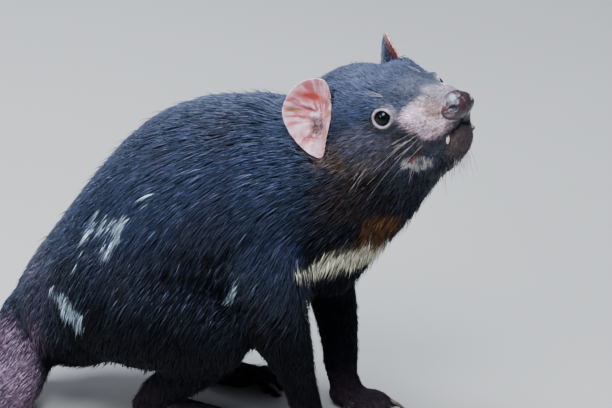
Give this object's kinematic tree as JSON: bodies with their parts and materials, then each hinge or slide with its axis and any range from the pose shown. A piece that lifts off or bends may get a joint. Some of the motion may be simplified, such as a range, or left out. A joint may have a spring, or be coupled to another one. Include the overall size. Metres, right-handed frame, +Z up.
{
  "type": "tasmanian devil",
  "caption": "Still, life-size model of a Tasmanian devil on its haunches, forelegs straight, head raised and turned to its right.",
  "frame": {"origin": "on the floor, under the middle of the animal's box", "axes": "+X from tail to head, +Y to the animal's left, +Z up"},
  "size_m": [0.4842, 0.29, 0.3287],
  "materials": {
    "fur": "short dense black coat with a cool sheen",
    "claw": "dark foot skin with thin hair and horn claws",
    "bare_skin": "thin pink skin",
    "nose_skin": "moist pebbled skin",
    "eye": "wet gloss",
    "tooth": "enamel"
  },
  "bodies": {
    "root": {"torso": "fur", "neck": "fur", "head": "fur", "tail_base": "fur", "tail_tip": "fur", "foreleg_right": "fur", "foreleg_left": "fur", "hindleg_right": "fur", "hindleg_left": "fur", "forefoot_right": "claw", "forefoot_left": "claw", "hindfoot_right": "claw", "hindfoot_left": "claw", "ear_right": "bare_skin", "ear_left": "bare_skin", "nose": "nose_skin", "eye_right": "eye", "eye_left": "eye", "canine_right": "tooth", "canine_left": "tooth"}
  },
  "joints": []
}
